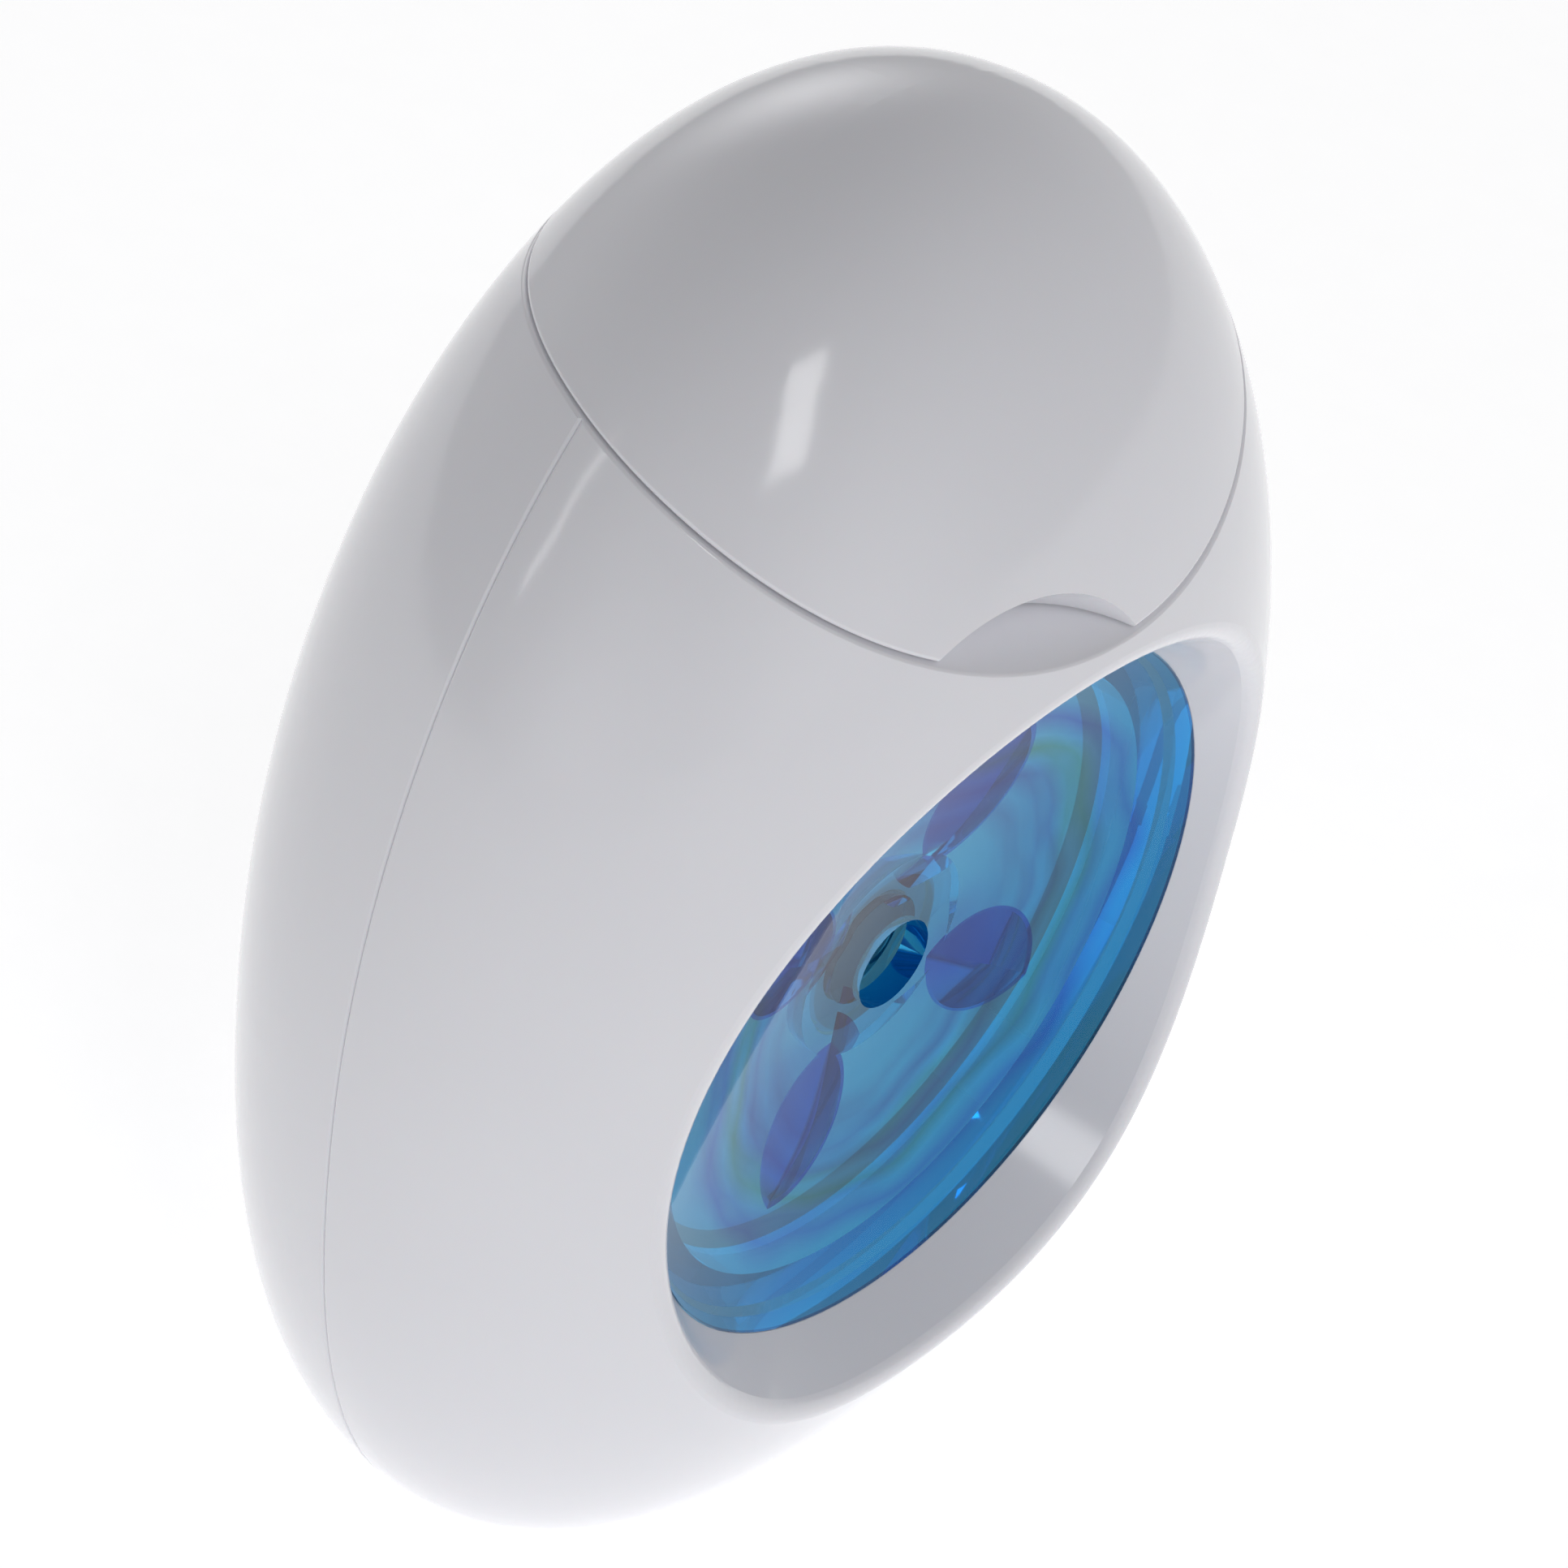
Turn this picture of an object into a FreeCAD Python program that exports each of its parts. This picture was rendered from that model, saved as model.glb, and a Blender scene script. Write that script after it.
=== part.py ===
"""Dental floss dispenser: an egg-shaped case with a dished window, a spool of floss and a hinged cap.

Frame: millimetres, +Z up, origin under the middle of the flat foot. The two half shells part on Y = 0,
the window faces -Y and the cap's hinge lies at +Y.
"""
import FreeCAD, Part
import math
import os
import re

Vector = FreeCAD.Vector
Placement = FreeCAD.Placement
Rotation = FreeCAD.Rotation

# Driving sizes: millimetres, degrees and plain ratios
SIZES = {
    # The egg: each section along Y is the front outline drawn in towards the pole level
    "egg_half_width": 21.45,
    "egg_half_depth": 14.2,
    "egg_top": 59.0,
    "egg_underside": -1.0,
    "widest_level": 26.45,
    "pole_level": 29.3,
    "top_fullness": 0.707,
    "bottom_fullness": 1.09,
    "front_fullness": 0.76,
    "rear_fullness": 0.85,
    "wall": 1.4,
    # The seam under the cap is a shallow trough that rises towards the hinge
    "seam_drop": 10.35,
    "seam_tilt": 19.2,
    "seam_radius": 35.3,
    "seam_gap": 0.1,
    "edge_round": 0.13,
    # The dish in the front shell and the ring that seats the window
    "window_level": 26.6,
    "window_recess": 5.65,
    "window_inset": 7.05,
    "dish_flare": 29.0,
    "crest_round": 0.7,
    "ring_wall": 1.6,
    "ring_depth": 1.5,
    # The window
    "window_fit": 0.05,
    "window_sag": 2.15,
    "window_thickness": 2.2,
    "window_flange": 1.1,
    "flange_thickness": 1.0,
    "skirt_wall": 1.3,
    "skirt_depth": 4.6,
    "hub_hole_radius": 1.85,
    "hub_hole_depth": 1.0,
    "thrust_boss_radius": 4.4,
    "spigot_radius": 2.4,
    "spigot_length": 1.7,
    "leaf_inner": 3.9,
    "leaf_margin": 3.9,
    "leaf_turn": 60.0,
    "leaf_ahead_share": 0.79,
    "leaf_behind_share": 0.61,
    "leaf_depth": 1.2,
    # Joining the shells: overlap lip, pins and sockets
    "lip_inset": 0.75,
    "lip_length": 1.2,
    "lip_fit": 0.08,
    "post_radius": 1.8,
    "pin_radius": 0.9,
    "pin_length": 2.4,
    "pin_fit": 0.05,
    "lower_post_inset": 7.95,
    "lower_post_level": 12.0,
    "upper_post_inset": 6.45,
    "upper_post_level": 39.0,
    # Spool and its post
    "spool_post_radius": 3.5,
    "post_recess": 0.4,
    "post_bore_radius": 2.5,
    "post_bore_depth": 8.0,
    "post_shoulder_radius": 5.0,
    "spool_fit": 0.1,
    "front_clearance": 0.9,
    "rear_clearance": 3.0,
    "spool_flange_inset": 1.8,
    "spool_flange_thickness": 1.0,
    "spool_core_radius": 5.2,
    # Floss on the spool
    "pack_inset": 2.1,
    "pack_fit": 0.05,
    "strand_radius": 0.4,
    "strand_margin": 0.12,
    "strand_turns": 7,
    # Deck under the cap
    "deck_drop": 1.2,
    "deck_thickness": 1.6,
    "deck_fit": 0.1,
    "neck_fit": 0.3,
    "neck_wall": 1.0,
    "neck_rise": 1.6,
    "ledge_width": 1.1,
    "ledge_thickness": 1.0,
    "outlet_place": 3.2,
    "outlet_bore_radius": 0.8,
    "outlet_boss_radius": 2.2,
    "outlet_boss_rise": 1.2,
    # Cutter
    "cutter_place": -3.4,
    "cutter_post_width": 6.4,
    "cutter_post_thickness": 2.0,
    "cutter_post_rise": 4.2,
    "cutter_width": 6.0,
    "cutter_sheet": 0.3,
    "cutter_fit": 0.03,
    "cutter_leg": 3.4,
    # Thumb scoop in the cap
    "scoop_aside": -4.57,
    "scoop_forward": 14.87,
    "scoop_drop": 7.7,
    "scoop_radius": 7.17,
    # Hinge: a small barrel sunk in the wall
    "hinge_sink": 0.95,
    "knuckle_radius": 0.9,
    "knuckle_clearance": 0.7,
    "cap_knuckle_length": 2.6,
    "shell_knuckle_length": 1.7,
    "knuckle_gap": 0.2,
    "rim_relief_radius": 1.0,
    "rim_relief_length": 2.6,
    "neck_room_radius": 2.6,
    "hinge_pin_radius": 0.4,
    "hinge_pin_fit": 0.03,
    # Sizes that follow from those above
    "seam_level": "=egg_top - seam_drop",
    "window_plane": "=egg_half_depth - window_recess",
    "window_radius": "=egg_half_width - window_inset",
    "leaf_outer": "=window_radius - leaf_margin",
    "leaf_bulge_ahead": "=leaf_ahead_share * (leaf_outer - leaf_inner) / 2",
    "leaf_bulge_behind": "=leaf_behind_share * (leaf_outer - leaf_inner) / 2",
    "lower_post_x": "=egg_half_width - lower_post_inset",
    "upper_post_x": "=egg_half_width - upper_post_inset",
    "spool_front": "=window_plane - window_sag - window_thickness - front_clearance",
    "spool_length": "=spool_front + egg_half_depth - wall - rear_clearance",
    "spool_post_front": "=spool_front - post_recess",
    "spool_flange_radius": "=window_radius - spool_flange_inset",
    "pack_radius": "=spool_flange_radius - pack_inset",
    "pack_width": "=spool_length - 2 * spool_flange_thickness - 2 * pack_fit",
    "strand_pitch": "=(pack_width - 2 * strand_radius - 2 * strand_margin) / strand_turns",
}
LEAVES = 4
FRONT = -1
REAR = 1

doc = FreeCAD.newDocument("floss_dispenser")
sheet = doc.addObject("Spreadsheet::Sheet", "Sizes")
for row, (name, value) in enumerate(SIZES.items(), 1):
    sheet.set(f"A{row}", name)
    sheet.set(f"B{row}", str(value))
    sheet.setAlias(f"B{row}", name)
doc.recompute()


def size(name):
    """A driving size as a number."""
    return float(sheet.get(name))


def cells(expression):
    """Turns the sizes named in an expression into references to their cells."""
    return re.sub(r"[a-z_]+", lambda m: "Sizes." + m[0] if m[0] in SIZES else m[0], expression)


# Turns that lay an upright primitive along another axis
UPRIGHT = Rotation()
FORWARD = Rotation(Vector(1, 0, 0), 90)
REARWARD = Rotation(Vector(1, 0, 0), -90)
SIDEWAYS = Rotation(Vector(0, 1, 0), 90)


def primitive(kind, name, at, turn=UPRIGHT, **sizes):
    """A Part primitive with its sizes and its place bound to the sheet."""
    obj = doc.addObject("Part::" + kind, name)
    obj.Placement = Placement(Vector(), turn)
    for prop, expression in sizes.items():
        obj.setExpression(prop, cells(expression))
    for axis, expression in zip("xyz", at):
        obj.setExpression("Placement.Base." + axis, cells(expression))
    return obj


def placed(kind, name, placement, **sizes):
    """A Part primitive with bound sizes on a slanted placement."""
    obj = doc.addObject("Part::" + kind, name)
    for prop, expression in sizes.items():
        obj.setExpression(prop, cells(expression))
    obj.Placement = placement
    return obj


def cut(name, base, *tools):
    """Takes the tools from the base one after another."""
    for step, tool in enumerate(tools, 1):
        obj = doc.addObject("Part::Cut", name if step == len(tools) else f"{name}_cut_{step}")
        obj.Base = base
        obj.Tool = tool
        base = obj
    return base


def fuse(name, *shapes):
    obj = doc.addObject("Part::MultiFuse", name)
    obj.Shapes = list(shapes)
    return obj


def common(name, *shapes):
    obj = doc.addObject("Part::MultiCommon", name)
    obj.Shapes = list(shapes)
    return obj


def rounded(name, base, radius, wanted):
    """Rounds the edges of the base that the test picks by their faces' kinds and their box."""
    doc.recompute()
    picked = []
    for number, edge in enumerate(base.Shape.Edges, 1):
        faces = base.Shape.ancestorsOfType(edge, Part.Face)
        kinds = {face.Surface.TypeId.replace("Part::Geom", "") for face in faces}
        if wanted(kinds, edge.BoundBox):
            picked.append((number, size(radius), size(radius)))
    obj = doc.addObject("Part::Fillet", name)
    obj.Base = base
    obj.Edges = picked
    return obj


# The egg

def conic(weight, step):
    """A point of the quarter curve from (1, 0) to (0, 1) whose corner pulls with the given weight."""
    first, middle, last = (1 - step) ** 2, 2 * weight * step * (1 - step), step ** 2
    total = first + middle + last
    return (first + middle) / total, (middle + last) / total


def half_egg(name, side, inset, floor=None):
    """Half the egg, drawn in by inset all round and cut off flat below the floor."""
    half_width = size("egg_half_width") - inset
    depth = side * (size("egg_half_depth") - inset)
    fullness = size("front_fullness" if side == FRONT else "rear_fullness")
    widest = size("widest_level")
    pole = size("pole_level")
    top = (size("egg_top") - inset, size("top_fullness"))
    bottom = (size("egg_underside") + inset, size("bottom_fullness"))
    profile = ((1, 0, 1), (1, depth, fullness), (0, depth, 1))
    faces = []
    for flank in (-side * half_width, side * half_width):
        for end, weight in (top, bottom):
            outline = ((flank, widest, 1), (flank, end, weight), (0, end, 1))
            patch = Part.BezierSurface()
            patch.increase(2, 2)
            for column, (x, z, pull) in enumerate(outline, 1):
                for row, (spread, y, pull_in) in enumerate(profile, 1):
                    pole_point = Vector(x * spread, y, pole + (z - pole) * spread)
                    patch.setPole(column, row, pole_point, pull * pull_in)
            faces.append(patch.toShape())
    edges = [edge for face in faces for edge in face.Edges]
    flat = [edge for edge in edges if edge.BoundBox.YLength < 1e-6 and edge.Length > 1]
    faces.append(Part.Face(Part.Wire(Part.__sortEdges__(flat))))
    shell = Part.makeShell(faces)
    shell.sewShape()
    solid = Part.makeSolid(shell)
    if floor is not None:
        reach = 2 * size("egg_top")
        solid = solid.cut(Part.makeBox(reach, reach, reach, Vector(-reach / 2, -reach / 2, floor - reach)))
    obj = doc.addObject("Part::Feature", name)
    obj.Shape = solid
    return obj


def whole_egg(name, inset, floor=None):
    """Both halves of the egg in one solid."""
    front = half_egg(f"{name}_front", FRONT, inset, floor)
    return fuse(name, front, half_egg(f"{name}_rear", REAR, inset, floor))


# The seam's own frame: X across, Y along the slope towards the hinge, Z square to it
SLOPE = Rotation(Vector(1, 0, 0), size("seam_tilt"))
SEAM_FRAME = Placement(Vector(0, 0, size("seam_level")), SLOPE)


def on_seam(x, along, above, turn=UPRIGHT):
    """A placement in the seam's frame."""
    return SEAM_FRAME.multiply(Placement(Vector(x, along, above), turn))


def trough(name, drop):
    """Everything above a sheet that runs drop below the seam."""
    start = on_seam(0, -size("egg_top"), size("seam_radius"), REARWARD)
    return placed("Cylinder", name, start, Radius=f"seam_radius + {drop}", Height="2 * egg_top")


ABOVE_SEAM = trough("above_seam", "0")
ABOVE_GAP = trough("above_gap", "-seam_gap")
ABOVE_DECK_TOP = trough("above_deck_top", "deck_drop")
ABOVE_DECK_BACK = trough("above_deck_back", "deck_drop + deck_thickness")
ABOVE_LEDGE_BACK = trough("above_ledge_back", "deck_drop + deck_thickness + ledge_thickness")

WALL = size("wall")
MID_WALL = WALL / 2
CAVITY_FRONT = half_egg("cavity_front", FRONT, WALL, WALL)
CAVITY_REAR = half_egg("cavity_rear", REAR, WALL, WALL)
MID_FRONT = half_egg("mid_wall_front", FRONT, MID_WALL, MID_WALL)
MID_REAR = half_egg("mid_wall_rear", REAR, MID_WALL, MID_WALL)
BELOW_FOOT = primitive("Box", "below_foot", ("-egg_top", "-egg_top", "-egg_top"),
                       Length="2 * egg_top", Width="2 * egg_top", Height="egg_top")


# Window seat: a flared dish with a ring behind it

def window_round(kind, name, y, turn=FORWARD, **sizes):
    """A round primitive on the window's axis that starts at y."""
    return primitive(kind, name, ("0", y, "window_level"), turn, **sizes)


FLARE = "tan(dish_flare) * egg_half_depth"
DISH = window_round("Cone", "dish", "-window_plane", Radius1="window_radius",
                    Radius2="window_radius + " + FLARE, Height="egg_half_depth")
RING_BACK = "-window_plane + ring_depth"


def ring_cone(name, grow):
    """The outside of the ring behind the dish, grown by a clearance."""
    return window_round("Cone", name, RING_BACK, Radius1=f"window_radius + ring_wall + {grow}",
                        Radius2=f"window_radius + ring_wall + {grow} + " + FLARE, Height="egg_half_depth")


SEAT_BORE = window_round("Cylinder", "seat_bore", RING_BACK, Radius="window_radius", Height="ring_depth")


# Snap posts

POSTS = [(side * size(f"{row}_post_x"), row) for row in ("lower", "upper") for side in (-1, 1)]


def post_round(name, x, row, y, turn, **sizes):
    """An upright-to-the-parting-plane cylinder at one of the snap posts."""
    return primitive("Cylinder", name, (str(x), y, f"{row}_post_level"), turn, **sizes)


def snap_posts(side, within):
    """The four posts of one shell, ended on its wall, as one solid each."""
    label = "front" if side == FRONT else "rear"
    turn = FORWARD if side == FRONT else REARWARD
    posts = []
    for number, (x, row) in enumerate(POSTS, 1):
        stem = post_round(f"{label}_stem_{number}", x, row, "0", turn,
                          Radius="post_radius", Height="egg_half_depth")
        posts.append(common(f"{label}_post_{number}", stem, within))
    return posts


# Thumb scoop

def scoop_form(name, grow):
    """The ball that cuts the thumb scoop, grown all round."""
    return primitive("Sphere", name, ("scoop_aside", "-scoop_forward", "seam_level - scoop_drop"),
                     Radius=f"scoop_radius + {grow}")


# Front shell

def ledge(name, side, mid_wall):
    """The step inside one shell that carries the deck."""
    inner = half_egg(f"{name}_inner", side, WALL + size("ledge_width"), WALL)
    band = common(f"{name}_band", mid_wall, ABOVE_LEDGE_BACK)
    return cut(name, band, ABOVE_DECK_BACK, inner)


def on_crest(kinds, box):
    return kinds == {"BezierSurface", "Cone"}


def on_rim(kinds, box):
    """The skin's edges along the parting plane and along the seam."""
    on_parting = "BezierSurface" in kinds and box.YLength < 1e-3 and abs(box.YMin) < 1e-3
    return on_parting or kinds == {"BezierSurface", "Cylinder"}


dished = cut("dished_front", half_egg("front_block", FRONT, 0), DISH)
crest = rounded("front_crest", dished, "crest_round", on_crest)
front_top = cut("front_top", crest, ABOVE_SEAM)
front_skin = cut("front_skin", rounded("front_edge", front_top, "edge_round", on_rim), BELOW_FOOT)
front_hollow = cut("front_hollow", CAVITY_FRONT, ring_cone("ring", "0"))
LIP_ZONE = primitive("Box", "lip_zone", ("-egg_half_width", "-lip_length - lip_fit", "-egg_top"),
                     Length="2 * egg_half_width", Width="lip_length + lip_fit", Height="3 * egg_top")
REBATE_INSET = size("lip_inset") - size("lip_fit")
rebate = common("lip_rebate", half_egg("rebate_egg", FRONT, REBATE_INSET, REBATE_INSET), LIP_ZONE)
front_case = cut("front_case", front_skin, front_hollow, SEAT_BORE, rebate)
front_pins = [post_round(f"pin_{number}", x, row, "-lip_length", REARWARD, Radius="pin_radius",
                         Height="lip_length + pin_length") for number, (x, row) in enumerate(POSTS, 1)]
shelf_block = common("shelf_block", MID_FRONT, scoop_form("shelf_form", "wall"),
                     trough("above_shelf_back", "deck_drop - deck_fit"))
scoop_shelf = cut("scoop_shelf", shelf_block, ABOVE_SEAM)
front_body = fuse("front_body", front_case, *snap_posts(FRONT, MID_FRONT), *front_pins,
                  ledge("front_ledge", FRONT, MID_FRONT), scoop_shelf)
front_shell = cut("front_shell", front_body, DISH)


# Hinge place: where the seam meets the rear skin, sunk into the wall

def rear_seam_point():
    """The seam's rear end on the skin at X = 0 and the skin's outward direction there."""
    depth, top, pole = size("egg_half_depth"), size("egg_top"), size("pole_level")
    slope = math.tan(math.radians(size("seam_tilt")))

    def skin(step):
        spread, y = conic(size("rear_fullness"), step)
        return Vector(0, depth * y, pole + (top - pole) * spread)

    low, high = 0.0, 1.0
    for _ in range(60):
        middle = (low + high) / 2
        point = skin(middle)
        if point.z > size("seam_level") + slope * point.y:
            low = middle
        else:
            high = middle
    along = (skin(low - 1e-4) - skin(low + 1e-4)).normalize()
    return skin(low), Vector(0, along.z, -along.y)


SKIN_POINT, OUTWARD = rear_seam_point()
HINGE = SKIN_POINT - OUTWARD * size("hinge_sink")
# The hinge's own frame: X along the pin, Y outward, Z up the cap's skin
HINGE_FRAME = Placement(HINGE, Rotation(Vector(1, 0, 0), OUTWARD, Vector(0, -OUTWARD.z, OUTWARD.y), "XYZ"))


def at_hinge(x, out, up, turn=UPRIGHT):
    return HINGE_FRAME.multiply(Placement(Vector(x, out, up), turn))


CAP_END = size("cap_knuckle_length") / 2
SHELL_START = CAP_END + size("knuckle_gap")
SHELL_END = SHELL_START + size("shell_knuckle_length")
BARREL_LENGTH = "cap_knuckle_length + 2 * knuckle_gap + 2 * shell_knuckle_length"


def barrel(name, start, length, radius):
    """A cylinder about the hinge axis from start along X."""
    return placed("Cylinder", name, at_hinge(start, 0, 0, SIDEWAYS), Radius=radius, Height=length)


ROOM = "knuckle_radius + knuckle_clearance"
pin_bore = barrel("pin_bore", -SHELL_END, BARREL_LENGTH, "hinge_pin_radius + hinge_pin_fit")
hinge_pin = barrel("hinge_pin", -SHELL_END, BARREL_LENGTH, "hinge_pin_radius")


# Rear shell

rear_top = cut("rear_top", half_egg("rear_block", REAR, 0), ABOVE_SEAM)
rear_skin = cut("rear_skin", rounded("rear_edge", rear_top, "edge_round", on_rim), BELOW_FOOT)
rear_case = cut("rear_case", rear_skin, CAVITY_REAR)
lip_blank = common("lip_blank", half_egg("lip_egg", FRONT, size("lip_inset"), size("lip_inset")),
                   primitive("Box", "lip_length_zone", ("-egg_half_width", "-lip_length", "-egg_top"),
                             Length="2 * egg_half_width", Width="lip_length", Height="3 * egg_top"))
lip = cut("lip", lip_blank, CAVITY_FRONT, ABOVE_SEAM)
spool_post = window_round("Cylinder", "spool_post", "-spool_post_front", REARWARD, Radius="spool_post_radius",
                          Height="spool_post_front + egg_half_depth - wall / 2")
POST_SHOULDER = "-spool_front + spool_length + spool_fit"
shoulder = window_round("Cylinder", "post_shoulder", POST_SHOULDER, REARWARD, Radius="post_shoulder_radius",
                        Height="egg_half_depth - wall / 2 + spool_front - spool_length - spool_fit")
post_bore = window_round("Cylinder", "post_bore", "-spool_post_front", REARWARD, Radius="post_bore_radius",
                         Height="post_bore_depth")
sockets = [post_round(f"socket_{number}", x, row, "0", REARWARD, Radius="pin_radius + pin_fit",
                      Height="pin_length + 2 * pin_fit") for number, (x, row) in enumerate(POSTS, 1)]
spool_carrier = fuse("spool_carrier", spool_post, shoulder)
rear_inside = fuse("rear_inside", rear_case, lip, spool_carrier, *snap_posts(REAR, MID_REAR),
                   ledge("rear_ledge", REAR, MID_REAR))
rear_trimmed = cut("rear_trimmed", rear_inside, post_bore, *sockets,
                   barrel("cap_knuckle_room", -SHELL_START, "cap_knuckle_length + 2 * knuckle_gap", ROOM))
shell_knuckles = [barrel(f"{side}_knuckle", start, "shell_knuckle_length", "knuckle_radius")
                  for side, start in (("left", -SHELL_END), ("right", SHELL_START))]
rear_shell = cut("rear_shell", fuse("rear_hinged", rear_trimmed, *shell_knuckles), pin_bore)


# Flip cap

cap_block = common("cap_block", whole_egg("egg", 0), ABOVE_GAP)
cap_edge = rounded("cap_edge", cap_block, "edge_round", on_rim)
cap_hollow = cut("cap_hollow", whole_egg("cavity", WALL, WALL), scoop_form("scoop_wall", "wall"))
ROOM_END = SHELL_END + size("knuckle_gap")
cap_room = [barrel(f"{side}_knuckle_room", start, "shell_knuckle_length + 2 * knuckle_gap", ROOM)
            for side, start in (("left", -ROOM_END), ("right", CAP_END))]
RELIEF_END = ROOM_END + size("rim_relief_length")
cap_room += [barrel(f"{side}_rim_relief", start, "rim_relief_length", "rim_relief_radius")
             for side, start in (("left", -RELIEF_END), ("right", ROOM_END))]
cap_scooped = cut("cap_scooped", cap_edge, scoop_form("scoop", "0"))
cap_case = cut("cap_case", cap_scooped, cap_hollow, *cap_room)
cap_knuckle = barrel("cap_knuckle", -CAP_END, "cap_knuckle_length", "knuckle_radius")
flip_cap = cut("flip_cap", fuse("cap_hinged", cap_case, cap_knuckle), pin_bore)


# Window

LENS_RADIUS = "((window_radius - window_fit)^2 + window_sag^2) / (2 * window_sag)"
LENS_CENTRE = f"-window_plane + window_sag - {LENS_RADIUS}"
rim = window_round("Cylinder", "window_rim", "-window_plane", REARWARD,
                   Radius="window_radius - window_fit", Height="skirt_depth")
flange = window_round("Cylinder", "window_flange_disc", RING_BACK, REARWARD,
                      Radius="window_radius + window_flange", Height="flange_thickness")
front_ball = window_round("Sphere", "front_ball", LENS_CENTRE, Radius=LENS_RADIUS)
back_ball = window_round("Sphere", "back_ball", LENS_CENTRE, Radius=LENS_RADIUS + " + window_thickness")
skirt_bore = window_round("Cylinder", "skirt_bore", "-window_plane", REARWARD,
                          Radius="window_radius - window_fit - skirt_wall", Height="egg_half_depth")
lens_back = cut("lens_back", skirt_bore, back_ball)
DISH_BOTTOM = "-window_plane + window_sag"
LENS_MIDDLE = DISH_BOTTOM + " + window_thickness / 2"
BOSS_REACH = "window_plane - window_sag - window_thickness / 2 - spool_front - spool_fit"
hub_hole = window_round("Cylinder", "hub_hole", DISH_BOTTOM + " - hub_hole_depth", REARWARD,
                        Radius="hub_hole_radius", Height="2 * hub_hole_depth")
thrust_boss = window_round("Cylinder", "thrust_boss", LENS_MIDDLE, REARWARD,
                           Radius="thrust_boss_radius", Height=BOSS_REACH)
spigot = window_round("Cylinder", "spigot", LENS_MIDDLE, REARWARD,
                      Radius="spigot_radius", Height=BOSS_REACH + " + spigot_length")


def leaf_pockets():
    """Four leaf-shaped pockets in the back of the window: two leaning cones meet along each leaf's keel."""
    rim_radius = size("window_radius") - size("window_fit")
    lens = (rim_radius ** 2 + size("window_sag") ** 2) / (2 * size("window_sag"))
    centre = Vector(0, size("window_sag") - size("window_plane") - lens, size("window_level"))
    back = lens + size("window_thickness")
    half = (size("leaf_outer") - size("leaf_inner")) / 2
    middle = (size("leaf_outer") + size("leaf_inner")) / 2
    bulges = (-size("leaf_bulge_ahead"), size("leaf_bulge_behind"))
    radii = [(half ** 2 + bulge ** 2) / (2 * abs(bulge)) for bulge in bulges]
    offsets = [math.copysign(radius - abs(bulge), -bulge) for bulge, radius in zip(bulges, radii)]
    lean = (sum(radii) - abs(offsets[0] - offsets[1])) / (2 * size("leaf_depth"))
    pockets = []
    for number in range(LEAVES):
        cones = []
        for radius, offset in zip(radii, offsets):
            wide = radius + lean * size("leaf_depth")
            base = Vector(offset, 0, -back - size("leaf_depth"))
            cones.append(Part.makeCone(wide, 0, wide / lean, base, Vector(0, 0, 1)))
        pocket = cones[0].common(cones[1])
        swing = Rotation(Vector(1, 0, 0), math.degrees(math.asin(middle / back)))
        spin = Rotation(Vector(0, 1, 0), 90 - size("leaf_turn") - number * 360 / LEAVES)
        pocket.Placement = Placement(centre, spin.multiply(swing).multiply(FORWARD))
        pockets.append(pocket)
    obj = doc.addObject("Part::Feature", "leaf_pockets")
    obj.Shape = Part.makeCompound(pockets)
    return obj


lens_body = cut("lens_body", fuse("window_blank", rim, flange), front_ball, lens_back)
window = cut("window", fuse("window_with_boss", lens_body, thrust_boss, spigot), hub_hole, leaf_pockets())


# Deck under the cap, with the neck, the floss outlet and the cutter's post

deck_egg = whole_egg("deck_egg", WALL + size("deck_fit"), WALL)
deck_plate = cut("deck_plate", common("deck_band", deck_egg, ABOVE_DECK_BACK), ABOVE_DECK_TOP)
neck_outer = whole_egg("neck_outer", WALL + size("neck_fit"), WALL)
neck_inner = whole_egg("neck_inner", WALL + size("neck_fit") + size("neck_wall"), WALL)
neck_band = common("neck_band", neck_outer, trough("above_neck_root", "deck_drop + deck_thickness / 2"))
neck = cut("neck", neck_band, trough("above_neck_top", "-neck_rise"), neck_inner)
DECK_TOP = -size("deck_drop")
DECK_MIDDLE = DECK_TOP - size("deck_thickness") / 2
outlet_boss = placed("Cylinder", "outlet_boss", on_seam(0, size("outlet_place"), DECK_MIDDLE),
                     Radius="outlet_boss_radius", Height="outlet_boss_rise + deck_thickness / 2")
bore_start = on_seam(0, size("outlet_place"), DECK_TOP - 2 * size("deck_thickness"))
outlet_bore = placed("Cylinder", "outlet_bore", bore_start, Radius="outlet_bore_radius",
                     Height="4 * deck_thickness")
post_foot = on_seam(-size("cutter_post_width") / 2, size("cutter_place"), DECK_MIDDLE)
cutter_post = placed("Box", "cutter_post", post_foot, Length="cutter_post_width",
                     Width="cutter_post_thickness", Height="cutter_post_rise + deck_thickness / 2")
neck_hinge_room = barrel("neck_hinge_room", -RELIEF_END, f"{2 * RELIEF_END}", "neck_room_radius")
neck_open = cut("neck_open", neck, scoop_form("scoop_room", "wall + neck_fit"), neck_hinge_room)
deck = fuse("deck", deck_plate, neck_open, outlet_boss, cutter_post)
cutter_carrier = cut("cutter_carrier", deck, outlet_bore, ring_cone("ring_room", "deck_fit"))


# Cutter blade: a folded clip over its post, slotted in front

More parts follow.
